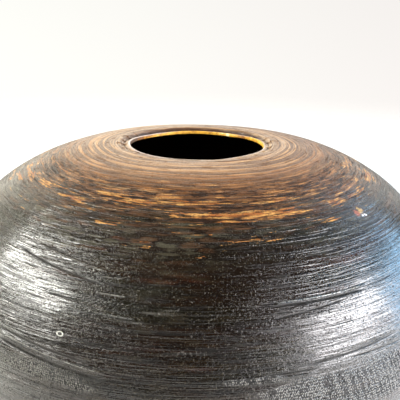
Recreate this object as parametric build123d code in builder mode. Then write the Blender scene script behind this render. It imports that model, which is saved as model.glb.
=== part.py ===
"""Coil-built black clay pot: a wide, low jar closed to a small mouth.

The pot stands on the XY plane with its axis on Z. It is built as a potter builds it: a pressed
base disc, coils laid one on the next and luted with bevelled joints, a lip coil that rounds off
the mouth, and a thin coat of burnished slip over the outside. All sizes are in millimetres.
"""

import math
import os

from build123d import *

# Mouth and lip
mouth_radius = 50.0
lip_rounding = 2.5
lip_land_height = 3.5

# The crown is level at this radius, where the lip coil meets the first wall coil below it
crown_radius = 59.0

# The outside is four tangent arcs, from the crown down to the foot
crown_arc_radius = 159.0
shoulder_arc_radius = 113.0
lower_arc_radius = 165.0
foot_arc_radius = 120.0

# Slope of the outside in degrees from level, where one arc hands over to the next
crown_slope = 0.0
shoulder_slope = 33.0
belly_slope = 90.0
foot_arc_slope = 140.0
foot_slope = 158.0

# Height of the foot's edge above the resting face
foot_edge_height = 4.0

# Clay and slip
crown_wall = 6.0
foot_wall = 9.0
slip_thickness = 0.5

# Joints between coils: the upper coil laps down inside the lower one by this much slope
joint_lap_slope = 3.5

# Each coil stands proud of its joints on the inside, where only fingers have smoothed it
coil_ridge = 1.2

# Coils in the order they are laid, from the foot up
coil_names = (
    "foot_coil",
    "lower_coil_1",
    "lower_coil_2",
    "lower_coil_3",
    "belly_coil_1",
    "belly_coil_2",
    "belly_coil_3",
    "shoulder_coil_1",
    "shoulder_coil_2",
    "shoulder_coil_3",
    "crown_coil_1",
    "crown_coil_2",
)

wall_arcs = (
    (crown_arc_radius, crown_slope, shoulder_slope),
    (shoulder_arc_radius, shoulder_slope, belly_slope),
    (lower_arc_radius, belly_slope, foot_arc_slope),
    (foot_arc_radius, foot_arc_slope, foot_slope),
)


def sin_deg(angle):
    return math.sin(math.radians(angle))


def cos_deg(angle):
    return math.cos(math.radians(angle))


wall_drop = sum(radius * (cos_deg(start) - cos_deg(end)) for radius, start, end in wall_arcs)
wall_length = sum(radius * math.radians(end - start) for radius, start, end in wall_arcs)
height = wall_drop + foot_edge_height


def arc_centres():
    """Return the centre of each wall arc, as (radius from the axis, height)."""
    centres = []
    across, up = crown_radius, height
    for radius, start, end in wall_arcs:
        centres.append((across - radius * sin_deg(start), up - radius * cos_deg(start)))
        across += radius * (sin_deg(end) - sin_deg(start))
        up += radius * (cos_deg(end) - cos_deg(start))
    return centres


def wall_point(slope, depth):
    """Return the point at a slope on the outside, moved straight into the wall by depth."""
    for (radius, _, end), (centre_across, centre_up) in zip(wall_arcs, arc_centres()):
        if slope <= end:
            break
    reach = radius - depth
    return (centre_across + reach * sin_deg(slope), centre_up + reach * cos_deg(slope))


def slope_at(length):
    """Return the slope of the outside at a length measured down it from the crown."""
    for radius, start, end in wall_arcs:
        arc_length = radius * math.radians(end - start)
        if length <= arc_length:
            return start + math.degrees(length / radius)
        length -= arc_length
    return foot_slope


def wall_at(slope):
    """Return the clay's thickness, which grows evenly from the crown to the foot."""
    return crown_wall + (foot_wall - crown_wall) * slope / foot_slope


def joint_ends(slope):
    """Return the outer and inner ends of the bevelled joint that starts at a slope."""
    inner_slope = slope + joint_lap_slope
    return wall_point(slope, slip_thickness), wall_point(inner_slope, wall_at(slope))


def draw_outside(upper_slope, lower_slope, depth):
    """Draw the outline's arcs between two slopes, at a depth below the outside."""
    for _, start, end in wall_arcs:
        first = max(start, upper_slope)
        last = min(end, lower_slope)
        if first < last:
            middle = (first + last) / 2
            ThreePointArc(
                wall_point(first, depth),
                wall_point(middle, depth),
                wall_point(last, depth),
            )


def make_coil(upper_slope, lower_slope):
    """Make one coil of the wall, between the joints above and below it."""
    upper_outer, upper_inner = joint_ends(upper_slope)
    lower_outer, lower_inner = joint_ends(lower_slope)
    middle_slope = (upper_slope + lower_slope) / 2
    ridge_depth = wall_at(middle_slope) + coil_ridge
    ridge = wall_point(middle_slope + joint_lap_slope, ridge_depth)
    with BuildPart() as coil:
        with BuildSketch(Plane.XZ):
            with BuildLine():
                draw_outside(upper_slope, lower_slope, slip_thickness)
                Line(lower_outer, lower_inner)
                ThreePointArc(lower_inner, ridge, upper_inner)
                Line(upper_inner, upper_outer)
            make_face()
        revolve(axis=Axis.Z)
    return coil.part


os.makedirs("parts", exist_ok=True)

# Base disc: a slab pressed flat, with its rim bevelled to take the foot coil
rim_outer, rim_inner = joint_ends(foot_slope)
rest_radius = rim_outer[0] + rim_outer[1] * cos_deg(foot_slope) / sin_deg(foot_slope)
with BuildPart() as base_disc:
    with BuildSketch(Plane.XZ):
        with BuildLine():
            Polyline(
                (0, 0),
                (rest_radius, 0),
                rim_outer,
                rim_inner,
                (0, rim_inner[1]),
                close=True,
            )
        make_face()
    revolve(axis=Axis.Z)
base_disc.part.label = "base_disc"
export_step(base_disc.part, "parts/base_disc.step")

# Wall coils, all of one height along the wall
coil_height = wall_length / len(coil_names)
for number, coil_name in enumerate(coil_names):
    lower_slope = slope_at(wall_length - number * coil_height)
    upper_slope = slope_at(wall_length - (number + 1) * coil_height)
    wall_coil = make_coil(upper_slope, lower_slope)
    wall_coil.label = coil_name
    export_step(wall_coil, f"parts/{coil_name}.step")

# Lip coil: closes the crown in to the mouth, with its top edge rounded
crown_outer, crown_inner = joint_ends(crown_slope)
rounding_centre = (mouth_radius + lip_rounding, height - lip_rounding)
with BuildPart() as lip_coil:
    with BuildSketch(Plane.XZ):
        with BuildLine():
            Polyline(crown_outer, (crown_radius, height), (rounding_centre[0], height))
            CenterArc(rounding_centre, lip_rounding, 90, 90)
            Polyline(
                (mouth_radius, rounding_centre[1]),
                (mouth_radius, rounding_centre[1] - lip_land_height),
                crown_inner,
                crown_outer,
            )
        make_face()
    revolve(axis=Axis.Z)
lip_coil.part.label = "lip_coil"
export_step(lip_coil.part, "parts/lip_coil.step")

# Slip coat: the burnished skin over all the coils, from the lip coil to the foot's edge
with BuildPart() as slip_coat:
    with BuildSketch(Plane.XZ):
        with BuildLine():
            draw_outside(crown_slope, foot_slope, 0)
            Line(wall_point(foot_slope, 0), wall_point(foot_slope, slip_thickness))
            draw_outside(crown_slope, foot_slope, slip_thickness)
            Line(wall_point(crown_slope, slip_thickness), wall_point(crown_slope, 0))
        make_face()
    revolve(axis=Axis.Z)
slip_coat.part.label = "slip_coat"
export_step(slip_coat.part, "parts/slip_coat.step")
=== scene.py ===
"""The looks of the black clay pot: its burnished slip, hand-pinched lip and clay inside.

Lengths are in metres unless a name says otherwise. A place on the wall is given by its angle
round the axis (0 along +X, 90 along +Y) and by how far down the wall it is from the crown's edge.
"""

import math
from types import SimpleNamespace

import bpy
import numpy as np
from mathutils import Matrix, Vector


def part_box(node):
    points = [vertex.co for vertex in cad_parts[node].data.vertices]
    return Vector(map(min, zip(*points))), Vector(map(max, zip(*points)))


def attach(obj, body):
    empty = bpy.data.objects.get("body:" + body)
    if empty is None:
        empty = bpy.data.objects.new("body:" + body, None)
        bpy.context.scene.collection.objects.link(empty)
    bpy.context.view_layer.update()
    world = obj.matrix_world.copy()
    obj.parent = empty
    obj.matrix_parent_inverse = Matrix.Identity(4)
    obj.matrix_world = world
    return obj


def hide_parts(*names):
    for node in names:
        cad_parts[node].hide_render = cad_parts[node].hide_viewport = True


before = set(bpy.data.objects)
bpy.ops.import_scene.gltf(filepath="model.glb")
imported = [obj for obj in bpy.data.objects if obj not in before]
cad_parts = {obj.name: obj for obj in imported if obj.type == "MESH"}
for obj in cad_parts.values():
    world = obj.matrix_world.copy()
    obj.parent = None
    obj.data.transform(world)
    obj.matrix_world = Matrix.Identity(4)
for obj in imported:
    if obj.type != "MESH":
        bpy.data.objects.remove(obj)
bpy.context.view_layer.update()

MM = 0.001
BODY = "root"

# The outside of the slip coat: tangent arcs (radius, slope at the start, slope at the end)
CROWN_RADIUS = 0.059
WALL_ARCS = (
    (0.159, math.radians(0), math.radians(33)),
    (0.113, math.radians(33), math.radians(90)),
    (0.165, math.radians(90), math.radians(140)),
    (0.12, math.radians(140), math.radians(158)),
)
WALL_LENGTH = sum(radius * (end - start) for radius, start, end in WALL_ARCS)
CROWN_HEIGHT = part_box("slip_coat")[1].z
LIP_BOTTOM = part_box("lip_coil")[0].z
MOUTH_RADIUS = 0.05

# Camera: level distance from the axis, height over the crown, then its turn in degrees
CAMERA_DISTANCE = 0.4774
CAMERA_RISE = 0.104
CAMERA_PITCH = 17.593
CAMERA_YAW = 0.375
CAMERA_ROLL = 0.892
CAMERA_LENS_MM = 56.2
SENSOR_MM = 36.0


# -------- shape


def outline(down):
    """Return radius, height and slope of the outside at distances down the wall."""
    down = np.asarray(down, float)
    across = CROWN_RADIUS + np.minimum(down, 0.0)
    up = np.full_like(down, CROWN_HEIGHT)
    slope = np.zeros_like(down)
    passed = 0.0
    for radius, start, end in WALL_ARCS:
        length = radius * (end - start)
        turned = np.clip(down - passed, 0.0, length) / radius
        across = across + radius * (np.sin(start + turned) - math.sin(start))
        up = up + radius * (np.cos(start + turned) - math.cos(start))
        slope = slope + turned
        passed += length
    return across, up, slope


def angle_between(angle, centre):
    """Return the signed angle from a centre, the short way round."""
    return (angle - centre + math.pi) % (2 * math.pi) - math.pi


def smooth_step(value, low, high):
    """Return 0 below low and 1 above high, with a smooth rise between them."""
    through = np.clip((value - low) / (high - low), 0.0, 1.0)
    return through * through * (3 - 2 * through)


def hump(value, centre, width):
    """Return a smooth bump: 1 at the centre, falling away on both sides over the width."""
    return np.exp(-(((value - centre) / width) ** 2))


def add_stroke(relief, down, angle, centre_deg, place, half_deg, width, height, drift=0.0):
    """Add one smooth ridge or groove that runs round the wall, fading at both ends."""
    offset = angle_between(angle, math.radians(centre_deg))
    half = math.radians(half_deg)
    along = 1 - smooth_step(np.abs(offset), 0.55 * half, half)
    rows = np.abs(down[:, 0] - place) < 4 * width + abs(drift)
    line = place + drift * offset / half
    relief[rows] += height * along * hump(down[rows], line, width)


def slow_waves(down, angle, rng, count, turns, length, height):
    """Return soft unevenness: waves of up to so many turns round and a length down the wall."""
    total = np.zeros(np.broadcast(down, angle).shape)
    for _ in range(count):
        turn = rng.integers(0, turns + 1)
        phase = rng.uniform(0, 2 * math.pi)
        pace = 2 * math.pi / length * rng.uniform(-1, 1)
        total += np.cos(turn * angle + pace * down + phase)
    return total * height / math.sqrt(count)


# Lines that stand out on the front: angle, half length and drift over it, place and half width
# down the wall, and strength. Angles are in degrees and lengths in mm.
RAISED_LINES = (
    (-65.5, 11.0, 0.0, 131.2, 0.9, 1.3),
    (-106.3, 3.0, -0.3, 118.4, 0.6, 1.2),
    (-105.2, 3.2, 0.3, 128.0, 0.65, 1.3),
    (-104.5, 4.5, 0.6, 139.1, 0.7, 1.1),
    (-117.0, 10.0, 4.0, 111.2, 0.8, 0.9),
    (-115.0, 12.5, 3.9, 167.0, 0.8, 1.2),
    (-121.5, 8.5, 2.0, 147.9, 0.6, 0.4),
    (-74.0, 5.0, 0.3, 171.0, 0.7, 0.8),
)
SCORED_LINES = (
    (-65.7, 10.5, 0.2, 133.2, 1.0, 1.2),
    (-68.5, 8.0, -2.2, 137.6, 0.8, 0.8),
    (-119.5, 12.5, 4.9, 118.2, 0.9, 0.8),
    (-114.0, 4.5, 0.0, 133.8, 0.5, 0.7),
    (-117.5, 11.0, 3.0, 163.4, 1.2, 0.9),
    (-116.0, 12.0, 3.9, 170.4, 1.6, 1.1),
    (-61.0, 11.5, -1.4, 165.0, 0.9, 0.8),
    (-56.5, 7.0, 0.9, 168.6, 0.7, 0.7),
    (-74.0, 5.0, 0.2, 169.0, 0.7, 0.8),
)
# The relief of a line of strength 1, and how much wider than its paint it is, in mm
LINE_HEIGHT = 0.2 * MM
LINE_SOFTNESS = 0.4

# The slip's other relief: how many soft bands and narrow turning marks, how far it all stands off
# the outline, and how far below the outline it may go
SOFT_BANDS = 70
TURNING_MARKS = 420
SKIN_LIFT = 0.25 * MM
SKIN_LOW = -0.38 * MM


def skin_relief(down, angle):
    """Return how far the slip stands out from the outline, in metres."""
    rng = np.random.default_rng(11)
    relief = slow_waves(down, angle, rng, 14, 5, 0.16, 0.35 * MM)
    for _ in range(SOFT_BANDS):
        width = rng.uniform(3.0, 7.0) * MM
        height = rng.uniform(-0.1, 0.1) * MM
        place = rng.uniform(0.0, WALL_LENGTH)
        centre = rng.uniform(0, 360)
        add_stroke(relief, down, angle, centre, place, rng.uniform(18, 70), width, height)
    for _ in range(TURNING_MARKS):
        width = rng.uniform(0.7, 1.7) * MM
        height = rng.normal(0.0, 0.07) * MM
        place = rng.uniform(0.004, WALL_LENGTH)
        half = rng.uniform(8, 60)
        drift = rng.normal(0.0, 0.8) * MM
        add_stroke(relief, down, angle, rng.uniform(0, 360), place, half, width, height, drift)
    for lines, height in ((RAISED_LINES, LINE_HEIGHT), (SCORED_LINES, -LINE_HEIGHT)):
        for centre, half, drift, place, width, strength in lines:
            place, drift, width = place * MM, drift * MM, (width + LINE_SOFTNESS) * MM
            add_stroke(relief, down, angle, centre, place, half, width, height * strength, drift)
    return np.maximum(relief + SKIN_LIFT, SKIN_LOW)


def lathe(name, across, up, angle, attributes):
    """Make a closed ring from a section that is given at each angle, as a smooth mesh."""
    rows, segments = across.shape
    points = np.stack([across * np.cos(angle), across * np.sin(angle), up], axis=-1)
    index = np.arange(rows * segments).reshape(rows, segments)
    beside = np.roll(index, -1, axis=1)
    below = np.roll(index, -1, axis=0)
    quads = np.stack([below, np.roll(beside, -1, axis=0), beside, index], axis=-1)
    mesh = bpy.data.meshes.new(name)
    mesh.from_pydata(points.reshape(-1, 3).tolist(), [], quads.reshape(-1, 4).tolist())
    for key, values in attributes.items():
        layer = mesh.attributes.new(key, "FLOAT", "POINT")
        layer.data.foreach_set("value", np.ascontiguousarray(values, np.float32).ravel())
    mesh.shade_smooth()
    mesh.update()
    obj = bpy.data.objects.new(name, mesh)
    bpy.context.scene.collection.objects.link(obj)
    return obj


def place_piece(obj, material, slot, *nodes):
    """Give a piece its material and tie it to the frame."""
    obj.data.materials.append(material)
    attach(obj, BODY)
    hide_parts(*nodes)


# -------- shader helpers

# About the wall's radius, so that a streak's length is a length round the wall
STREAK_RADIUS = 0.15


class Nodes:
    """A node tree, with short calls for the nodes that the materials and the world share."""

    def __init__(self, tree):
        self.tree = tree
        self.tree.nodes.clear()

    def add(self, kind, *inputs, **settings):
        """Add a node, set its properties and feed its inputs in order."""
        node = self.tree.nodes.new(kind)
        for key, value in settings.items():
            setattr(node, key, value)
        for socket, value in zip(node.inputs, inputs):
            self.feed(socket, value)
        return node

    def feed(self, socket, value):
        """Link an output to a socket, or set the socket's own value; None leaves it alone."""
        if isinstance(value, bpy.types.NodeSocket):
            self.tree.links.new(value, socket)
        elif value is not None:
            socket.default_value = value

    def between(self, value, low, high, start=0.0, end=1.0, smooth=False):
        """Map low..high to start..end, held at the ends."""
        node = self.add("ShaderNodeMapRange", value, low, high, start, end)
        node.interpolation_type = "SMOOTHSTEP" if smooth else "LINEAR"
        return node.outputs["Result"]

    def ramp(self, value, stops):
        """Return a colour that follows a value through stops: positions and colours, in order."""
        node = self.add("ShaderNodeValToRGB", value)
        elements = node.color_ramp.elements
        for element, (position, colour) in ((elements[0], stops[0]), (elements[1], stops[-1])):
            element.position = position
            element.color = (*colour, 1)
        for position, colour in stops[1:-1]:
            elements.new(position).color = (*colour, 1)
        return node.outputs["Color"]


class Shader(Nodes):
    """A material, with the places and the noises that the clay needs."""

    def __init__(self, name):
        self.material = bpy.data.materials.new(name)
        self.material.use_nodes = True
        super().__init__(self.material.node_tree)
        self.surface = self.add("ShaderNodeBsdfPrincipled")
        self.add("ShaderNodeOutputMaterial", self.surface.outputs["BSDF"])
        self.place = self.add("ShaderNodeTexCoord").outputs["Object"]
        split = self.add("ShaderNodeSeparateXYZ", self.place)
        x, y = split.outputs["X"], split.outputs["Y"]
        self.height = split.outputs["Z"]
        self.radius = self.math("SQRT", self.math("ADD", self.times(x, x), self.times(y, y)))
        self.cos = self.math("DIVIDE", x, self.radius)
        self.sin = self.math("DIVIDE", y, self.radius)
        self.turn = self.math("ARCTAN2", y, x)

    def math(self, operation, first, second=None, third=None, clamp=False):
        node = self.add("ShaderNodeMath", first, second, third, operation=operation, use_clamp=clamp)
        return node.outputs[0]

    def times(self, first, second):
        return self.math("MULTIPLY", first, second)

    def swing(self, noise, amount, base):
        """Return a base that a noise moves up and down by its distance from its middle."""
        return self.math("MULTIPLY_ADD", self.math("SUBTRACT", noise, 0.5), amount, base)

    def away_from(self, value, middle):
        """Return how far a value is from a middle one, on either side."""
        return self.math("ABSOLUTE", self.math("SUBTRACT", value, middle))

    def attribute(self, name):
        return self.add("ShaderNodeAttribute", attribute_name=name).outputs["Fac"]

    def blend(self, factor, first, second, mode="MIX"):
        """Blend two colours; a colour is a socket or three numbers."""
        node = self.tree.nodes.new("ShaderNodeMix")
        node.data_type = "RGBA"
        node.blend_type = mode
        self.feed(node.inputs[0], factor)
        for socket, value in ((node.inputs[6], first), (node.inputs[7], second)):
            self.feed(socket, value if isinstance(value, bpy.types.NodeSocket) else (*value, 1.0))
        return node.outputs[2]

    def paint(self, colour, *layers):
        """Lay colours over one another in turn, each given as a mask and a colour."""
        for mask, layer in layers:
            colour = self.blend(mask, colour, layer)
        return colour

    def noise(self, vector, scale=1.0, detail=2.0, roughness=0.5):
        node = self.add("ShaderNodeTexNoise")
        self.feed(node.inputs["Vector"], vector)
        node.inputs["Scale"].default_value = scale
        node.inputs["Detail"].default_value = detail
        node.inputs["Roughness"].default_value = roughness
        return node.outputs["Fac"]

    def round_vector(self, scale, third):
        """Return a vector that goes round a circle with the pot, with a third part of its own."""
        across, ahead = self.times(self.cos, scale), self.times(self.sin, scale)
        return self.add("ShaderNodeCombineXYZ", across, ahead, third).outputs[0]

    def streaks(self, down, length, width, seed, detail=2.0, roughness=0.55):
        """Noise drawn out round the pot: features of a length round it and a width down it."""
        third = self.math("MULTIPLY_ADD", down, 1.0 / width, seed)
        return self.noise(self.round_vector(STREAK_RADIUS / length, third), 1.0, detail, roughness)

    def near_middle(self, value, reach):
        """Return 1 where a noise crosses its middle value, fading to 0 at a reach either side."""
        return self.between(self.away_from(value, 0.5), 0.3 * reach, reach, 1.0, 0.0)

    def cells(self, vector, scale, randomness, feature="F1"):
        node = self.add("ShaderNodeTexVoronoi", feature=feature)
        self.feed(node.inputs["Vector"], vector)
        node.inputs["Scale"].default_value = scale
        node.inputs["Randomness"].default_value = randomness
        return node

    def specks(self, scale, size, pale_share, dark_share):
        """Return masks for pale and for dark round specks, each in a share of the cells."""
        node = self.cells(self.place, scale, 1.0)
        dot = self.between(node.outputs["Distance"], 0.6 * size, size, 1.0, 0.0)
        pick = self.add("ShaderNodeSeparateColor", node.outputs["Color"]).outputs[0]
        pale = self.times(dot, self.math("GREATER_THAN", pick, 1.0 - pale_share))
        dark = self.times(dot, self.math("LESS_THAN", pick, dark_share))
        return pale, dark

    def bump(self, height, strength, distance, normal=None):
        """Return the normal of a relief that stands up to a distance, laid over another."""
        node = self.add("ShaderNodeBump")
        node.inputs["Strength"].default_value = strength
        node.inputs["Distance"].default_value = distance
        self.feed(node.inputs["Height"], height)
        self.feed(node.inputs["Normal"], normal)
        return node.outputs["Normal"]

    def finish(self, colour, roughness, normal, gloss):
        """Feed the surface and return the material."""
        self.feed(self.surface.inputs["Base Color"], colour)
        self.feed(self.surface.inputs["Roughness"], roughness)
        self.feed(self.surface.inputs["Normal"], normal)
        self.feed(self.surface.inputs["Specular IOR Level"], gloss)
        return self.material


# -------- materials

# Colours are linear red, green and blue. The slip's, from dark to pale:
SPECK_BLACK = (0.002, 0.0015, 0.001)
PIT_BLACK = (0.003, 0.002, 0.002)
# Painted shade between the chatter beads
GAP_SHADE_BLACK = (0.003, 0.003, 0.003)
CRACK_BLACK = (0.004, 0.002, 0.002)
# Near black of the dark turning lines, and painted shade in the scored grooves
LINE_AND_GROOVE_SHADE_BLACK = (0.004, 0.003, 0.002)
# Painted shade, blackest on the front
FRONT_SHADE_BLACK = (0.0045, 0.0025, 0.0015)
DASH_BLACK = (0.005, 0.003, 0.002)
OLIVE_BLACK = (0.009, 0.0088, 0.0045)
SLAB_BLACK = (0.009, 0.006, 0.004)
BROWN_BLACK = (0.014, 0.007, 0.003)
RUST = (0.042, 0.013, 0.006)
DASH_GREY = (0.04, 0.035, 0.022)
LINE_GREY = (0.046, 0.04, 0.025)
SLAB_GREY = (0.062, 0.058, 0.04)
SLAB_BROWN = (0.075, 0.03, 0.012)
SPECK_GREY = (0.078, 0.07, 0.05)
# Chatter bead tops: partly burnished wear, partly painted glints
BEAD_WEAR_AND_GLINT_GREY = (0.17, 0.16, 0.14)
# Painted highlight along the raised lines
RIDGE_HIGHLIGHT_GREY = (0.44, 0.43, 0.39)
# Low on the wall the slip's colour is multiplied by this
DEEP_TINT = (0.42, 0.34, 0.27)

# The crown's colours: taupe by the lip, then tan and brown as the slip begins to cover it
CROWN_RAMP = (
    (0.0, (0.375, 0.245, 0.148)),
    (0.18, (0.43, 0.225, 0.086)),
    (0.36, (0.22, 0.088, 0.024)),
    (0.52, (0.074, 0.03, 0.01)),
    (1.0, (0.028, 0.016, 0.009)),
)
DEEP_CRACK_BROWN = (0.016, 0.008, 0.005)
FINE_CRACK_BROWN = (0.02, 0.01, 0.006)
RING_BROWN = (0.08, 0.036, 0.017)
TURNED_BROWN = (0.085, 0.04, 0.017)
ARC_BROWN = (0.085, 0.04, 0.02)
THREAD_BROWN = (0.095, 0.044, 0.021)
BRIGHT_TAN = (0.34, 0.155, 0.055)
ARC_TAN = (0.5, 0.31, 0.145)

# Bare clay where the slip is worn through, and the cracks in it
OCHRE_ORANGE = (0.22, 0.078, 0.023)
OCHRE_GOLD = (0.43, 0.228, 0.07)
OCHRE_CRACK = (0.05, 0.022, 0.012)

# The golden inside of the mouth, the painted shade in the hollow's crease and the thin rim's painted
# highlight
GLOW_RED = (0.2, 0.07, 0.008)
GLOW_GOLD = (0.62, 0.33, 0.035)
GLOW_CREAM = (0.85, 0.68, 0.36)
GLOW_SHADE = (0.075, 0.045, 0.027)
CREASE_SHADE_BROWN = (0.034, 0.014, 0.006)
# Painted highlight along the thin rim
RIM_HIGHLIGHT_PINK = (0.6, 0.49, 0.44)


def named_lines(shader, down, breaks):
    """Return masks for the named raised lines and the named scored ones, broken up a little."""
    masks = []
    for lines in (RAISED_LINES, SCORED_LINES):
        total = 0.0
        for centre, half, drift, place, width, strength in lines:
            half = math.radians(half)
            offset = shader.math("SUBTRACT", shader.turn, math.radians(centre))
            line = shader.math("MULTIPLY_ADD", offset, -drift * MM / half, down)
            far = shader.math("ABSOLUTE", offset)
            along = shader.between(far, 0.7 * half, half, strength, 0.0)
            across = shader.between(shader.away_from(line, place * MM), 0.0, width * MM, 1.0, 0.0)
            total = shader.math("MULTIPLY_ADD", along, across, total)
        masks.append(shader.times(total, breaks))
    return masks


# Blemishes, each at an angle and a distance down the wall in mm: a pit lined with yellow grit,
# with a red edge and white grains below it, a ring where a bubble burst, and a dark speck
PIT_PLACE = (318.8, 86.6)
PIT_EDGE_PLACE = (316.8, 87.6)
# Holes in the pit: there is no hole in the mesh, they are painted black as shade
PIT_HOLES = ((319.6, 84.8), (319.3, 89.2), (317.9, 86.0))
CHALK_PLACES = ((317.9, 90.6), (319.2, 91.2))
RING_PLACE = (246.5, 153.7)
RING_RADIUS = 1.9 * MM
RING_SQUASH = 1.7
SPECK_PLACE = (106.0, 19.3)

PIT_STAIN = (0.024, 0.011, 0.008)
PIT_RED = (0.2, 0.05, 0.015)
PIT_YELLOW = (0.31, 0.19, 0.055)
PIT_HOLE_SHADE_BLACK = (0.01, 0.005, 0.003)
CHALK_WHITE = (0.8, 0.78, 0.8)
RING_WHITE = (0.62, 0.62, 0.56)
SPECK_DARK = (0.01, 0.01, 0.01)


def gap_from(shader, place, squash=1.0):
    """Return the distance to a point on the outside, in metres, counting height more by squash."""
    angle, down = math.radians(place[0]), place[1] * MM
    across, up, _ = outline(down)
    point = (float(across) * math.cos(angle), float(across) * math.sin(angle), float(up) * squash)
    stretch = (1.0, 1.0, squash)
    scaled = shader.add("ShaderNodeVectorMath", shader.place, stretch, operation="MULTIPLY")
    gap = shader.add("ShaderNodeVectorMath", scaled.outputs["Vector"], point, operation="DISTANCE")
    return gap.outputs["Value"]


def blemishes(shader, colour, ragged):
    """Colour the pit and what is in it, the burst bubble's ring and the speck."""
    rough_edge = shader.times(shader.math("SUBTRACT", ragged, 0.5), 5.0 * MM)

    def spot(place, solid, edge, amount):
        """Return a ragged spot's mask, from its solid radius to its edge, in mm."""
        gap = shader.math("ADD", gap_from(shader, place), rough_edge)
        return shader.between(gap, solid * MM, edge * MM, amount, 0.0)

    ring = shader.away_from(gap_from(shader, RING_PLACE, RING_SQUASH), RING_RADIUS)
    return shader.paint(
        colour,
        (spot(PIT_PLACE, 4.0, 6.0, 0.75), PIT_STAIN),
        (spot(PIT_EDGE_PLACE, 2.0, 3.2, 0.9), PIT_RED),
        (spot(PIT_PLACE, 2.0, 3.4, 0.85), PIT_YELLOW),
        # The pit's holes are painted black as their shade
        *((spot(hole, 0.6, 1.3, 0.95), PIT_HOLE_SHADE_BLACK) for hole in PIT_HOLES),
        *((spot(grain, 0.4, 1.1, 0.9), CHALK_WHITE) for grain in CHALK_PLACES),
        (shader.between(ring, 0.1 * MM, 0.6 * MM, 0.65, 0.0), RING_WHITE),
        (shader.between(gap_from(shader, SPECK_PLACE), 0.7 * MM, 1.1 * MM, 1.0, 0.0), SPECK_DARK),
    )


def turning_marks(shader, down):
    """Return the noises that the colours, the gloss and the relief share, broad ones first."""
    marks = SimpleNamespace()
    marks.patches = shader.streaks(down, 0.09, 0.014, 11.0, 3.0)
    marks.broad = shader.streaks(down, 0.05, 0.004, 27.0, 3.0)
    marks.turned = shader.streaks(down, 0.6, 0.0025, 5.0, 3.0, 0.6)
    marks.arcs = shader.streaks(down, 0.12, 0.0016, 19.0, 2.0, 0.6)
    marks.medium = shader.streaks(down, 0.028, 0.0017, 43.0, 3.0, 0.6)
    marks.blotch = shader.streaks(down, 0.014, 0.003, 57.0, 3.0, 0.6)
    marks.fine = shader.streaks(down, 0.013, 0.001, 71.0, 2.0, 0.6)
    marks.scratch = shader.streaks(down, 0.05, 0.0013, 97.0, 1.0)
    marks.ring = shader.near_middle(shader.streaks(down, 0.4, 0.0062, 7.0, 2.0, 0.5), 0.045)
    marks.thread = shader.near_middle(shader.streaks(down, 0.25, 0.0036, 13.0, 1.0, 0.5), 0.04)
    marks.clump = shader.noise(shader.place, 330.0, 2.0, 0.6)
    marks.grain = shader.noise(shader.place, 1100.0, 2.0, 0.6)
    marks.pale_specks, marks.dark_specks = shader.specks(900.0, 0.36, 0.34, 0.3)
    return marks


# The blackest place on the front, a painted shade: degrees round and metres down the wall
FRONT_SHADE_ANGLE = -77.0
FRONT_SHADE_DOWN = 0.118


def front_shade_mask(shader, down):
    """Return the painted shade on the front, fading out round the pot and up and down the wall."""
    sideways = shader.away_from(shader.turn, math.radians(FRONT_SHADE_ANGLE))
    upright = shader.away_from(down, FRONT_SHADE_DOWN)
    return shader.times(
        shader.between(sideways, 0.1, 0.32, 0.75, 0.0),
        shader.between(upright, 0.016, 0.04, 1.0, 0.0),
    )


SLAB_HEIGHT = 0.0026


def torn_slabs(shader, down, marks):
    """Return mask and colour of the short slabs that the slip is torn into at the shoulder."""
    step = shader.math("MULTIPLY_ADD", marks.medium, 3.0, shader.times(down, 1 / SLAB_HEIGHT))
    place = shader.round_vector(10.0, step)
    pick = shader.add("ShaderNodeSeparateColor", shader.cells(place, 1.0, 1.0).outputs["Color"])
    edge = shader.cells(place, 1.0, 1.0, "DISTANCE_TO_EDGE").outputs["Distance"]
    slabs = shader.paint(
        shader.blend(pick.outputs[0], SLAB_BLACK, SLAB_GREY),
        (shader.between(pick.outputs[1], 0.8, 0.84, 0.0, 0.6), SLAB_BROWN),
        (shader.between(edge, 0.04, 0.16, 0.9, 0.0), CRACK_BLACK),
    )
    zone = shader.times(shader.between(down, 0.06, 0.076), shader.between(down, 0.118, 0.098))
    zone = shader.times(zone, shader.between(marks.patches, 0.36, 0.46))
    return shader.times(zone, 0.7), slabs


def slip_colour(shader, down, marks):
    """Return the dark slip: olive-black and brown-black patches under dashes, pits and specks."""
    rust = shader.between(shader.streaks(down, 0.045, 0.007, 90.0, 3.0), 0.57, 0.69)
    colour = shader.paint(
        shader.blend(shader.between(marks.patches, 0.42, 0.58), OLIVE_BLACK, BROWN_BLACK),
        (shader.times(rust, 0.7), RUST),
        (shader.between(marks.medium, 0.54, 0.66, 0.0, 0.5), LINE_GREY),
        (shader.between(marks.medium, 0.47, 0.38, 0.0, 0.9), LINE_AND_GROOVE_SHADE_BLACK),
        (shader.between(marks.blotch, 0.56, 0.66, 0.0, 0.5), DASH_GREY),
        (shader.between(marks.blotch, 0.45, 0.37, 0.0, 0.9), DASH_BLACK),
        (shader.between(marks.grain, 0.46, 0.36, 0.0, 0.7), PIT_BLACK),
        torn_slabs(shader, down, marks),
    )
    deep = shader.between(down, 0.092, 0.15)
    pale_share = shader.between(deep, 0.0, 1.0, 0.5, 0.42)
    return shader.paint(
        shader.blend(deep, colour, DEEP_TINT, "MULTIPLY"),
        # Painted shade on the front
        (front_shade_mask(shader, down), FRONT_SHADE_BLACK),
        (shader.times(marks.dark_specks, 0.7), SPECK_BLACK),
        (shader.times(marks.pale_specks, pale_share), SPECK_GREY),
    )


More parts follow.
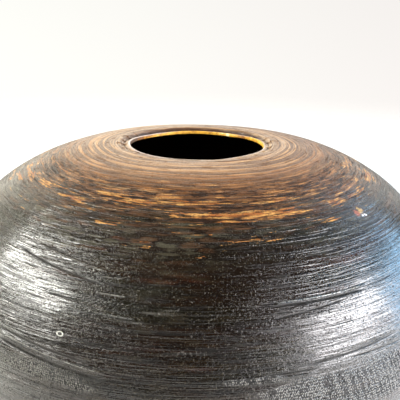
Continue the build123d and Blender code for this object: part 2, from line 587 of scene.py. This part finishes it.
def crown_colour(shader, down, marks, reach):
    """Return the crown's clay, with its turning marks and, lower down, cracks and bright dashes."""
    turned = shader.between(marks.turned, 0.51, 0.44)
    low = shader.between(down, 0.034, 0.056)
    return shader.paint(
        shader.ramp(shader.between(reach, 0.004, 0.1), CROWN_RAMP),
        (shader.between(marks.arcs, 0.47, 0.4, 0.0, 0.8), ARC_BROWN),
        (shader.between(marks.arcs, 0.56, 0.64, 0.0, 0.4), ARC_TAN),
        (shader.times(shader.between(down, 0.004, 0.03, 0.4, 0.9), turned), TURNED_BROWN),
        (shader.between(marks.medium, 0.47, 0.38, 0.0, 0.5), ARC_BROWN),
        (shader.times(marks.ring, 0.72), RING_BROWN),
        (shader.times(marks.thread, 0.5), THREAD_BROWN),
        (shader.times(low, shader.between(marks.blotch, 0.51, 0.43)), DEEP_CRACK_BROWN),
        (shader.times(low, shader.between(marks.fine, 0.47, 0.4, 0.0, 0.9)), FINE_CRACK_BROWN),
        (shader.times(low, shader.between(marks.medium, 0.54, 0.62, 0.0, 0.65)), BRIGHT_TAN),
    )


def ochre_colour(shader, marks):
    """Return the bare clay: orange and gold by turns, broken by cracks and pits."""
    return shader.paint(
        shader.blend(shader.between(marks.blotch, 0.42, 0.6), OCHRE_ORANGE, OCHRE_GOLD),
        (shader.between(marks.fine, 0.5, 0.4, 0.0, 0.9), OCHRE_CRACK),
        (shader.between(marks.grain, 0.47, 0.37, 0.0, 0.8), OCHRE_CRACK),
    )


# How far down the wall flecks of bare clay are most common
FLECKS_DOWN = 0.066


def fleck_mask(shader, down, marks, ochre):
    """Return the flecks of bare clay: few by the lip and below the shoulder, more in ochre places."""
    fleck = shader.swing(marks.medium, 1.8, 0.345)
    fleck = shader.swing(marks.fine, 1.5, fleck)
    fleck = shader.swing(marks.grain, 0.5, fleck)
    near = shader.between(shader.away_from(down, FLECKS_DOWN), 0.0, 0.042, 0.05, -0.25)
    fleck = shader.math("ADD", fleck, near)
    fleck = shader.math("ADD", fleck, shader.between(down, 0.09, 0.12, 0.0, -0.8))
    fleck = shader.math("MULTIPLY_ADD", ochre, 0.54, fleck)
    return shader.between(fleck, 0.62, 0.76)


def burnish(shader, down, marks, scored, bare):
    """Return roughness and gloss: the slip is burnished, and what is sunk or bare is duller."""
    sunk_grain = shader.between(marks.grain, 0.44, 0.34)
    sunk_line = shader.between(marks.medium, 0.44, 0.36)
    roughness = shader.between(marks.medium, 0.35, 0.65, 0.1, 0.18)
    on_crown = shader.between(down, 0.02, 0.1, 1.0, 0.0)
    roughness = shader.math("MULTIPLY_ADD", on_crown, 0.22, roughness)
    roughness = shader.swing(marks.clump, 0.18, roughness)
    roughness = shader.math("MULTIPLY_ADD", sunk_grain, 0.35, roughness)
    roughness = shader.math("MULTIPLY_ADD", sunk_line, 0.25, roughness)
    roughness = shader.math("MULTIPLY_ADD", scored, 0.6, roughness, clamp=True)
    dull = shader.math("MAXIMUM", sunk_grain, shader.times(sunk_line, 0.45))
    dull = shader.math("MAXIMUM", dull, scored)
    gloss = shader.between(dull, 0.0, 1.0, 0.5, 0.1)
    return roughness, shader.times(gloss, shader.between(bare, 0.0, 1.0, 1.0, 0.3))


def fine_relief(shader, down, marks, raised, scored):
    """Return the relief: burnished flats, broken by turning marks, scratches, pits and grains."""
    lines = shader.math(
        "ADD",
        shader.between(marks.medium, 0.34, 0.44, -1.0, 0.0),
        shader.between(marks.arcs, 0.56, 0.66),
    )
    lines = shader.math("ADD", lines, shader.between(marks.fine, 0.36, 0.44, -0.7, 0.0))
    rings = shader.math("MAXIMUM", marks.ring, shader.times(marks.thread, 0.7))
    cuts = shader.times(
        shader.between(marks.turned, 0.43, 0.51),
        shader.between(down, 0.08, 0.12, 1.0, 0.3),
    )
    scratches = shader.math(
        "SUBTRACT",
        shader.between(marks.scratch, 0.62, 0.68),
        shader.between(marks.scratch, 0.4, 0.34),
    )
    pits = shader.math(
        "ADD",
        shader.between(marks.grain, 0.3, 0.43, -1.0, 0.0),
        shader.between(marks.grain, 0.58, 0.7),
    )
    grains = shader.math("SUBTRACT", marks.pale_specks, marks.dark_specks)
    named = shader.math("SUBTRACT", raised, scored)
    normal = shader.bump(lines, 0.26, 0.14 * MM)
    normal = shader.bump(shader.times(rings, -1.0), 0.45, 0.22 * MM, normal)
    normal = shader.bump(cuts, 0.5, 0.12 * MM, normal)
    normal = shader.bump(scratches, 0.6, 0.2 * MM, normal)
    normal = shader.bump(named, 1.0, 0.42 * MM, normal)
    normal = shader.bump(marks.clump, 0.08, 0.4 * MM, normal)
    return shader.bump(shader.math("ADD", pits, grains), 0.5, 0.14 * MM, normal)


def clay_surface(shader, down, ochre):
    """Return colour, roughness, normal and gloss of the slip, worn to clay towards the crown."""
    sway = shader.streaks(down, 0.2, 0.05, 3.1, 1.0)
    level = down
    down = shader.math("MULTIPLY_ADD", sway, 4.0 * MM, down)
    marks = turning_marks(shader, down)
    reach = shader.swing(marks.arcs, 0.05, shader.swing(marks.broad, 0.05, down))
    covered = shader.between(shader.swing(marks.medium, 0.06, reach), 0.058, 0.09)
    flecks = fleck_mask(shader, down, marks, ochre)
    breaks = shader.between(marks.grain, 0.38, 0.5, 0.35, 1.0)
    raised, scored = named_lines(shader, level, breaks)

    colour = shader.paint(
        crown_colour(shader, down, marks, reach),
        (covered, slip_colour(shader, down, marks)),
        (flecks, ochre_colour(shader, marks)),
        # Raised lines are painted pale as their highlight
        (shader.between(raised, 0.6, 1.2, 0.0, 0.5), RIDGE_HIGHLIGHT_GREY),
        # Scored lines are painted near black as the shade in their grooves
        (shader.times(scored, 0.9), LINE_AND_GROOVE_SHADE_BLACK),
    )
    colour = blemishes(shader, colour, marks.grain)

    uncovered = shader.math("SUBTRACT", 1.0, covered)
    bare = shader.times(uncovered, shader.between(down, 0.028, 0.048))
    bare = shader.math("MAXIMUM", bare, flecks)
    roughness, gloss = burnish(shader, down, marks, scored, bare)
    return colour, roughness, fine_relief(shader, down, marks, raised, scored), gloss


# The marks of a skipping scraper: how far they lean round the pot, in radians per metre down it,
# where their rows are counted from, and how many there are to a radian and to a metre down
CHATTER_SLANT = 1.7
CHATTER_START = 0.178
MARKS_PER_RADIAN = 195.0
ROWS_LEFT = 860.0
ROWS_RIGHT = 640.0


def chatter(shader, down, colour, roughness, normal, gloss):
    """Add the short raised marks of a skipping scraper, where the chatter attribute says, with
    painted glints on the beads and painted shade between them.
    """
    slanted = shader.math("MULTIPLY_ADD", down, -CHATTER_SLANT, shader.turn)
    rows = shader.between(shader.cos, -0.2, 0.2, ROWS_LEFT, ROWS_RIGHT)
    vector = shader.add(
        "ShaderNodeCombineXYZ",
        shader.times(shader.math("COSINE", slanted), MARKS_PER_RADIAN),
        shader.times(shader.math("SINE", slanted), MARKS_PER_RADIAN),
        shader.times(shader.math("SUBTRACT", down, CHATTER_START), rows),
    )
    gap = shader.cells(vector.outputs[0], 1.0, 0.5).outputs["Distance"]
    beads = shader.between(gap, 0.2, 0.6, 1.0, 0.0, smooth=True)
    shown = shader.swing(shader.streaks(down, 0.035, 0.0045, 33.0), 2.0, shader.attribute("chatter"))
    shown = shader.between(shown, 0.3, 0.8)
    # Bead tops are painted pale, partly wear and partly painted glints, and the gaps between them
    # black as painted shade
    bead_glints_and_shade = shader.blend(shader.between(beads, 0.2, 0.75), GAP_SHADE_BLACK, BEAD_WEAR_AND_GLINT_GREY)
    colour = shader.blend(shader.times(shown, 0.62), colour, bead_glints_and_shade)
    gaps = shader.times(shader.between(beads, 0.5, 0.15), shown)
    roughness = shader.math("MULTIPLY_ADD", gaps, 0.42, roughness, clamp=True)
    gloss = shader.times(gloss, shader.between(gaps, 0.0, 1.0, 1.0, 0.62))
    normal = shader.bump(shader.times(beads, shown), 1.0, 0.32 * MM, normal)
    return colour, roughness, normal, gloss


def slip_material():
    """Make the burnished slip, with the scraper's chatter low on the wall."""
    shader = Shader("black_slip")
    down = shader.attribute("down")
    surface = clay_surface(shader, down, shader.attribute("ochre"))
    return shader.finish(*chatter(shader, down, *surface))


def lip_material():
    """Make the lip's clay: the crown's, with a painted highlight on the rim, painted shade in the
    crease and a golden inside.
    """
    shader = Shader("lip_clay")
    rim = shader.attribute("rim")
    colour, roughness, normal, gloss = clay_surface(shader, shader.attribute("down"), 0.0)
    mottle = shader.noise(shader.place, 300.0, 3.0, 0.6)
    glow = shader.swing(mottle, 1.5, shader.attribute("glow"))
    gold = shader.paint(
        shader.blend(shader.between(glow, 0.15, 0.55), GLOW_RED, GLOW_GOLD),
        (shader.between(glow, 0.75, 1.0), GLOW_CREAM),
        (shader.between(glow, 0.05, -0.35), GLOW_SHADE),
    )
    colour = shader.paint(
        colour,
        # Painted shade in the crease
        (shader.between(shader.attribute("crease_shade"), 0.1, 0.8), CREASE_SHADE_BROWN),
        # The rim's painted highlight
        (shader.times(rim, 0.75), RIM_HIGHLIGHT_PINK),
        (shader.attribute("inside"), gold),
    )
    roughness = shader.times(roughness, shader.between(rim, 0.0, 1.0, 1.0, 0.55))
    return shader.finish(colour, roughness, normal, gloss)


def inside_material():
    """Make the bare clay inside, wiped round by fingers."""
    shader = Shader("clay_body")
    blotch = shader.noise(shader.place, 28.0, 4.0, 0.6)
    grit = shader.noise(shader.place, 520.0, 3.0, 0.7)
    wipe = shader.noise(shader.round_vector(3.0, shader.times(shader.height, 260.0)), 1.0, 3.0)
    colour = shader.paint(
        shader.blend(shader.between(blotch, 0.35, 0.65), (0.03, 0.018, 0.011), (0.075, 0.042, 0.024)),
        (shader.between(wipe, 0.5, 0.7, 0.0, 0.5), (0.12, 0.075, 0.045)),
    )
    roughness = shader.between(grit, 0.3, 0.7, 0.75, 0.95)
    normal = shader.bump(wipe, 0.5, 0.8 * MM)
    normal = shader.bump(grit, 0.5, 0.4 * MM, normal)
    return shader.finish(colour, roughness, normal, 0.3)


# The floor fades out between these distances from the axis, into the plain backdrop
FLOOR_SOLID = 0.7
FLOOR_END = 2.3
# Two pools of light on the floor, which the low wall mirrors: x, y, solid radius, outer radius
LEFT_POOL = (-0.72, 0.05, 0.28, 0.52)
RIGHT_POOL = (0.95, -0.15, 0.45, 0.95)
POOL_GLOW = 2.2
FLOOR_GLOW = 0.1


def light_pool(shader, x, y, solid, edge):
    """Return a soft round mask on the floor, full within one distance and gone at the other."""
    gap = shader.add("ShaderNodeVectorMath", shader.place, (x, y, 0.0), operation="DISTANCE")
    return shader.between(gap.outputs["Value"], solid, edge, 1.0, 0.0, smooth=True)


def floor_material():
    """Make the pale floor, which glows in two pools and fades out far from the pot."""
    shader = Shader("pale_floor")
    cloud = shader.noise(shader.place, 2.0, 2.0)
    colour = shader.blend(cloud, (0.86, 0.85, 0.82), (0.9, 0.89, 0.86))
    left = light_pool(shader, *LEFT_POOL)
    right = light_pool(shader, *RIGHT_POOL)
    glow = shader.math("MULTIPLY_ADD", left, POOL_GLOW, FLOOR_GLOW)
    glow = shader.math("MULTIPLY_ADD", right, POOL_GLOW, glow)
    tint = shader.blend(left, (1.0, 0.965, 0.985), (0.98, 1.0, 0.82))
    shader.feed(shader.surface.inputs["Emission Color"], tint)
    shader.feed(shader.surface.inputs["Emission Strength"], glow)
    fade = shader.between(shader.radius, FLOOR_SOLID, FLOOR_END, 1.0, 0.0, smooth=True)
    shader.feed(shader.surface.inputs["Alpha"], fade)
    return shader.finish(colour, 0.8, None, 0.2)


# -------- pieces

# Places where the slip is worn to ochre in long dashes: angle, place in mm, half length in degrees,
# half width in mm, strength
OCHRE_DASHES = (
    (216, 68, 7, 2.2, 0.9),
    (232, 70.5, 8, 2.2, 0.9),
    (242, 60, 7, 2.0, 0.8),
    (254, 63.5, 9, 2.2, 1.0),
    (270, 61.5, 10, 2.4, 1.0),
    (267, 73, 5, 1.8, 0.9),
    (286, 74.0, 20, 3.8, 1.1),
    (291, 62.5, 15, 1.8, 0.5),
    (248, 83.5, 4.5, 1.4, 0.9),
    (257, 97, 4.5, 2.8, 1.3),
    (314, 75, 5, 2.2, 0.9),
    (325, 75.5, 6, 2.4, 0.8),
    (304, 86, 6, 2.6, 0.5),
    (282, 93.5, 10, 2.6, 1.15),
    (278, 99, 5, 2.2, 1.15),
    (268, 102.5, 7, 2.0, 1.2),
)
# Where a scraper chattered, in the same terms
CHATTER_PATCHES = (
    (242, 177, 16, 5.0, 0.62),
    (300, 187, 24, 13.0, 1.0),
    (279, 171, 6, 1.5, 1.0),
)
# More of both kinds, at random places that are mostly on the back and the sides
OTHER_DASHES = 46
OTHER_PATCHES = 14


def named_strokes(down, angle, strokes):
    """Return how strongly the strokes of a list show."""
    shown = np.zeros(np.broadcast(down, angle).shape)
    for centre, place, half, width, amount in strokes:
        add_stroke(shown, down, angle, centre, place * MM, half, width * MM, amount)
    return shown


def ochre_places(down, angle):
    """Return how strongly the ochre shows, on the front and all round."""
    shown = named_strokes(down, angle, OCHRE_DASHES)
    rng = np.random.default_rng(23)
    for _ in range(OTHER_DASHES):
        centre = rng.uniform(-18, 205)
        place = rng.normal(72, 13) * MM
        half = rng.uniform(3, 12)
        width = rng.uniform(1.3, 2.8) * MM
        add_stroke(shown, down, angle, centre, place, half, width, rng.uniform(0.6, 1.0))
    return np.clip(shown, 0.0, 1.2)


def chatter_places(down, angle):
    """Return how strongly the scraper chattered, on the front and all round."""
    shown = named_strokes(down, angle, CHATTER_PATCHES)
    rng = np.random.default_rng(41)
    for _ in range(OTHER_PATCHES):
        place = rng.uniform(168, 300) * MM
        half, width = rng.uniform(14, 34), rng.uniform(2.5, 6.0) * MM
        centre = rng.uniform(-35, 215) if place < 0.235 else rng.uniform(0, 360)
        add_stroke(shown, down, angle, centre, place, half, width, rng.uniform(0.2, 0.5))
    return np.clip(shown * 1.4, 0.0, 1.0)


# The skin's mesh: steps round it, rows down to the belly, rows below it, rows on its back, how far
# down the wall the belly's middle is, and how deep the back lies
SKIN_SEGMENTS = 360
UPPER_ROWS = 176
LOWER_ROWS = 56
BACK_ROWS = 12
UPPER_END = 0.205
SKIN_DEPTH = 0.45 * MM


def ring_angles(segments):
    """Return evenly spaced angles round the pot, as one row."""
    return np.linspace(0, 2 * math.pi, segments, endpoint=False)[None, :]


def make_skin(material):
    """Make the slip coat: a thin closed shell over the coils, with its turning marks."""
    angle = ring_angles(SKIN_SEGMENTS)
    flat = np.ones_like(angle)
    upper = np.linspace(0.0, UPPER_END, UPPER_ROWS)
    lower = np.linspace(UPPER_END, WALL_LENGTH, LOWER_ROWS)[1:]
    down = np.concatenate([upper, lower])[:, None]
    across, up, slope = outline(down)
    relief = skin_relief(down, angle)
    out_across = across + relief * np.sin(slope)
    out_up = up + relief * np.cos(slope)

    back_down = np.linspace(WALL_LENGTH, 0.0, BACK_ROWS)[:, None]
    back_across, back_up, back_slope = outline(back_down)
    back_across = (back_across - SKIN_DEPTH * np.sin(back_slope)) * flat
    back_up = (back_up - SKIN_DEPTH * np.cos(back_slope)) * flat
    unmarked = np.zeros_like(back_up)
    skin = lathe(
        "slip_coat_skin",
        np.concatenate([out_across, back_across]),
        np.concatenate([out_up, back_up]),
        angle,
        {
            "down": np.concatenate([down * flat, back_down * flat]),
            "ochre": np.concatenate([ochre_places(down, angle), unmarked]),
            "chatter": np.concatenate([chatter_places(down, angle), unmarked]),
        },
    )
    place_piece(skin, material, "black_slip", "slip_coat")


# Pinches round the lip: the angle of the step between one and the next, and how bold it is
PINCHES = (
    (5, 0.9), (16, 0.9), (31, 0.6), (48, 0.7), (66, 0.6), (84, 0.8), (101, 0.7), (118, 0.8),
    (134, 0.9), (151, 1.0), (164, 0.9), (177, 0.6), (190, 1.0), (207, 1.0), (226, 1.0), (244, 0.4),
    (262, 0.3), (281, 0.35), (298, 0.8), (313, 1.0), (333, 0.9), (347, 1.0),
)


def pinch_pattern(angle):
    """Return how far through its pinch each angle is, how bold that pinch is, and its reach.

    Each pinch rises towards its step, which faces the front on both sides of the mouth.
    """
    rng = np.random.default_rng(5)
    edges = np.radians([edge for edge, _ in PINCHES])
    bold = np.array([amount for _, amount in PINCHES])
    reaches = rng.uniform(-1.0, 1.0, len(edges)) * MM
    turned = (angle - edges[0]) % (2 * math.pi)
    starts = edges - edges[0]
    cell = np.searchsorted(starts, turned, side="right") - 1
    widths = np.diff(np.append(starts, 2 * math.pi))
    through = (turned - starts[cell]) / widths[cell]
    on_left = np.cos(edges + widths / 2) < 0
    strength = np.where(on_left[cell], bold[(cell + 1) % len(edges)], bold[cell])
    through = np.where(on_left[cell], through, 1 - through)
    return through, strength, reaches[cell]


# The lip's mesh: steps round it, rows over its top and rows round its edge
LIP_SEGMENTS = 900
TOP_ROWS = 44
EDGE_ROWS = 6

# The radius where the lip feathers out on the crown, how much wider the pinched mouth is than the
# bore, and the radius of the edge's rounding
FEATHER_RADIUS = 0.0675
MOUTH_EXTRA = 1.2 * MM
EDGE_ROUNDING = 0.7 * MM

# Steps down the upright land inside the mouth, as shares of its depth
LAND_STEPS = (0.35, 0.7, 1.0)
# The hidden side, in mm: radius and height over the lip's bottom, then radius and depth in the crown
UNDER_CROWN = ((53.5, 2.0), (56.0, 1.4), (59.0, 0.9), (64.0, 0.6))
BURIED_END = ((64.0, 4.0), (64.0, 1.6))
# How far down the wall the clay inside the mouth is taken to be, for its colour
INSIDE_DOWN = -9 * MM


def lip_top(angle, from_mouth, top, behind):
    """Return how high the lip's top stands over the crown, and how dark the painted shade in its
    crease is.

    The top runs from the feathered edge, over the hollow that a thumb pressed, to the thin rim.
    The pinches fold it, most of all in front, and leave a ledge between the rim and the hollow.
    """
    through, strength, reach = pinch_pattern(angle)
    before = smooth_step(-np.sin(angle), 0.2, 0.95)
    fold = through**1.8 * (1 - smooth_step(through, 0.9, 1.0))

    rise = -0.95 * MM + 1.3 * MM * smooth_step(from_mouth, 4.0 * MM, 8.5 * MM)
    rise = rise - 0.8 * MM * before * (1 - smooth_step(from_mouth, 2.0 * MM, 7.0 * MM))
    rise = rise - 1.2 * MM * behind * (1 - smooth_step(from_mouth, 1.6 * MM, 5.6 * MM))
    roll = 0.4 * MM * hump(from_mouth, 1.1 * MM, 0.8 * MM)
    deep = (1.0 + 0.5 * behind) * (1 - 0.8 * strength * fold * (1 - 0.7 * behind))
    hollow = -1.05 * MM * hump(from_mouth, 4.8 * MM, 1.8 * MM) * deep
    folds = 0.9 * MM * strength * fold * hump(from_mouth, 7.5 * MM, 3.6 * MM) * (1 - 0.6 * behind)
    ledge_end = 4.6 * MM + reach + 2.6 * MM * strength * np.sin(math.pi * through) ** 0.6
    past_ledge = from_mouth - ledge_end
    ledge = 0.55 * MM * strength * (1 - smooth_step(past_ledge, 0.0, 0.8 * MM)) * (1 - behind)
    ledge = ledge * smooth_step(from_mouth, 1.2 * MM, 2.6 * MM)
    feather = -0.9 * MM * smooth_step(-top, -0.22, 0.0)

    # Painted shade: in the hollow's crease, darkest behind the mouth, at each pinch's step and under
    # each ledge
    spread = (2.2 - 0.5 * behind + 0.5 * behind * np.sin(math.pi * through)) * MM
    crease_shade = (1.0 - 0.3 * strength * fold) * hump(from_mouth, 4.3 * MM, spread)
    at_step = smooth_step(through, 0.86, 0.95) * hump(from_mouth, 7.5 * MM, 3.2 * MM)
    shadow = 0.3 * (1 - 0.8 * behind) * at_step
    under_ledge = 0.6 * hump(past_ledge, 0.9 * MM, 0.8 * MM) * (1 - behind)
    crease_shade = np.maximum(crease_shade * (0.15 + 1.3 * behind), np.maximum(shadow, under_ledge) * strength)
    return rise + roll + hollow + folds + ledge + feather, np.clip(crease_shade, 0.0, 1.0)


def make_lip(material):
    """Make the lip: a thin roll round the mouth, thumbed down on to the crown in folds."""
    angle = ring_angles(LIP_SEGMENTS)
    flat = np.ones_like(angle)
    behind = smooth_step(np.sin(angle), -0.1, 0.8)
    rng = np.random.default_rng(31)
    mouth = MOUTH_RADIUS + MOUTH_EXTRA + slow_waves(0.0, angle, rng, 8, 7, 1.0, 0.3 * MM)
    tilt = slow_waves(0.0, angle, rng, 8, 5, 1.0, 0.25 * MM)

    # Top: from the feathered edge on the crown to the thin rim
    top = np.linspace(0.0, 1.0, TOP_ROWS)[:, None]
    top_radius = FEATHER_RADIUS + (mouth + EDGE_ROUNDING - FEATHER_RADIUS) * top
    from_mouth = top_radius - mouth
    rise, crease_shade = lip_top(angle, from_mouth, top, behind)
    top_height = CROWN_HEIGHT + rise + tilt * top

    # Inside: round the edge, down the land and out under the crown
    turn = np.linspace(0.0, 1.0, EDGE_ROWS + 1)[1:, None] * math.pi / 2
    edge_radius = mouth + EDGE_ROUNDING * (1 - np.sin(turn))
    edge_height = top_height[-1:] - EDGE_ROUNDING * (1 - np.cos(turn))
    land_depth = (2.2 - 0.6 * behind) * MM
    land_height = edge_height[-1:] - np.array(LAND_STEPS)[:, None] * land_depth
    land_radius = np.broadcast_to(mouth, land_height.shape)
    hidden = [(across * MM, LIP_BOTTOM + up * MM) for across, up in UNDER_CROWN]
    hidden += [(across * MM, CROWN_HEIGHT - deep * MM) for across, deep in BURIED_END]
    hidden_radius, hidden_height = np.array(hidden).T[:, :, None] * flat
    across = np.concatenate([top_radius, edge_radius, land_radius, hidden_radius])
    up = np.concatenate([top_height, edge_height, land_height, hidden_height])

    # Paint: the far edge is gold, with a cream spot and an amber one, and the near rim gets a painted
    # highlight
    below_edge = np.zeros((len(land_height) + len(hidden_height), LIP_SEGMENTS))
    golden_side = smooth_step(np.cos(angle - math.radians(55)), 0.25, 0.75)
    golden = smooth_step(np.cos(angle - math.radians(50)), -0.55, 0.25)
    cream = hump(angle_between(angle, math.radians(60)), 0.0, math.radians(7))
    amber = hump(angle_between(angle, math.radians(44)), 0.0, math.radians(8))
    glow = 0.95 * golden - 0.45 + 0.45 * cream - 0.4 * amber
    turned_in = smooth_step(turn - 0.6 + 0.9 * golden_side, 0.0, 0.5)
    top_rim = 1 - smooth_step(from_mouth, 1.2 * MM, 2.0 * MM)
    rim = np.concatenate([top_rim, 1 - turned_in]) * (1 - golden_side)
    marks = {
        "down": np.concatenate(
            [top_radius - CROWN_RADIUS, edge_radius - CROWN_RADIUS, below_edge + INSIDE_DOWN]
        ),
        "inside": np.concatenate([np.zeros_like(top_radius), turned_in, below_edge + 1]),
        "crease_shade": np.concatenate([crease_shade, np.zeros_like(edge_radius), below_edge]),
        "rim": np.concatenate([rim, below_edge]),
        "glow": glow * np.ones_like(across),
    }
    lip = lathe("lip_pinched", across, up, angle, marks)
    place_piece(lip, material, "lip_clay", "lip_coil")


def dress_coils(material):
    """Give the coils and the base disc their clay; they show only inside the mouth."""
    for name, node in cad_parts.items():
        if name in ("slip_coat", "lip_coil"):
            continue
        for slot in node.material_slots:
            slot.material = material


# -------- stage


def make_floor():
    """Lay the floor that the pot stands on."""
    side = FLOOR_END
    mesh = bpy.data.meshes.new("floor")
    corners = [(-side, -side, 0), (side, -side, 0), (side, side, 0), (-side, side, 0)]
    mesh.from_pydata(corners, [], [(0, 1, 2, 3)])
    floor = bpy.data.objects.new("floor", mesh)
    bpy.context.scene.collection.objects.link(floor)
    mesh.materials.append(floor_material())


# The lamps aim at this share of the pot's height
AIM_SHARE = 0.6


def softbox(name, azimuth, elevation, distance, width, height, radiance, colour, roll=0.0):
    """Place a rectangular lamp that faces the pot; azimuth 0 is behind it and 90 its right."""
    data = bpy.data.lights.new(name, "AREA")
    data.shape = "RECTANGLE"
    data.size = width
    data.size_y = height
    data.energy = radiance * math.pi * width * height
    data.color = colour
    lamp = bpy.data.objects.new(name, data)
    azimuth, elevation = math.radians(azimuth), math.radians(elevation)
    level = math.cos(elevation)
    away = Vector((math.sin(azimuth) * level, math.cos(azimuth) * level, math.sin(elevation)))
    aim = Vector((0, 0, AIM_SHARE * CROWN_HEIGHT))
    turn = away.to_track_quat("Z", "Y").to_matrix().to_4x4()
    rolled = turn @ Matrix.Rotation(math.radians(roll), 4, "Z")
    lamp.matrix_world = Matrix.Translation(aim + away * distance) @ rolled
    lamp.visible_camera = False
    bpy.context.scene.collection.objects.link(lamp)


def make_lights():
    """Light the pot: soft light from behind, a window at each side and a bluish sky at the right."""
    softbox("back_left", -23, 20, 2.6, 2.3, 2.0, 2.2, (1.0, 0.94, 0.79))
    softbox("back_right", 21, 20, 2.6, 2.2, 2.0, 1.25, (1.0, 0.96, 0.9))
    softbox("left_window", -99.5, 29.2, 1.7, 1.2, 0.41, 53.0, (1.0, 0.995, 0.92))
    softbox("right_window", 114.5, 15, 1.7, 1.15, 0.68, 36.5, (1.0, 0.98, 1.0), 10.0)
    softbox("right_sky", 77, 9, 1.9, 1.15, 0.95, 11.5, (0.38, 0.68, 1.0))
    softbox("upper_sky", 50, 34, 2.2, 1.0, 0.8, 1.9, (0.48, 0.68, 1.0))
    softbox("left_haze", -66, 22, 2.1, 1.2, 1.0, 0.5, (0.95, 1.0, 0.72))


# The sky that the pot sees, from the horizon up, and the backdrop behind it, from left to right
SKY_RAMP = ((0.0, (0.16, 0.155, 0.14)), (0.75, (0.03, 0.03, 0.03)))
BACKDROP_RAMP = ((0.0, (1.0, 1.0, 0.95)), (1.0, (0.91, 0.875, 0.85)))


def make_world():
    """Make the backdrop: white to the camera, and to the pot a dim sky that is pale low down."""
    world = bpy.data.worlds.new("studio")
    world.use_nodes = True
    nodes = Nodes(world.node_tree)
    direction = nodes.add("ShaderNodeTexCoord").outputs["Generated"]
    towards = nodes.add("ShaderNodeSeparateXYZ", direction)
    glow = nodes.add("ShaderNodeBackground", nodes.ramp(towards.outputs["Z"], SKY_RAMP))
    sideways = nodes.between(towards.outputs["X"], -0.35, 0.35)
    strength = nodes.between(towards.outputs["Z"], 0.0, -0.16, 1.0, 1.055)
    plain = nodes.add("ShaderNodeBackground", nodes.ramp(sideways, BACKDROP_RAMP), strength)
    seen = nodes.add("ShaderNodeLightPath").outputs["Is Camera Ray"]
    choose = nodes.add("ShaderNodeMixShader", seen, glow.outputs[0], plain.outputs[0])
    nodes.add("ShaderNodeOutputWorld", choose.outputs[0])
    bpy.context.scene.world = world


def make_camera():
    """Place the camera at the viewing angle, looking a little down on the mouth."""
    pitch, yaw, roll = (math.radians(a) for a in (CAMERA_PITCH, CAMERA_YAW, CAMERA_ROLL))
    level = math.cos(pitch)
    ahead = Vector((math.sin(yaw) * level, math.cos(yaw) * level, -math.sin(pitch)))
    right = Vector((math.cos(yaw), -math.sin(yaw), 0))
    above = right.cross(ahead)
    rolled_right = math.cos(roll) * right + math.sin(roll) * above
    rolled_above = math.cos(roll) * above - math.sin(roll) * right
    data = bpy.data.cameras.new("camera")
    data.lens = CAMERA_LENS_MM
    data.sensor_width = SENSOR_MM
    camera = bpy.data.objects.new("camera", data)
    turn = Matrix((rolled_right, rolled_above, -ahead)).transposed().to_4x4()
    place = Vector((0, -CAMERA_DISTANCE, CROWN_HEIGHT + CAMERA_RISE))
    camera.matrix_world = Matrix.Translation(place) @ turn
    bpy.context.scene.collection.objects.link(camera)
    bpy.context.scene.camera = camera


make_camera()
make_skin(slip_material())
make_lip(lip_material())
dress_coils(inside_material())
make_floor()
make_lights()
make_world()
bpy.context.scene.view_settings.view_transform = "Standard"
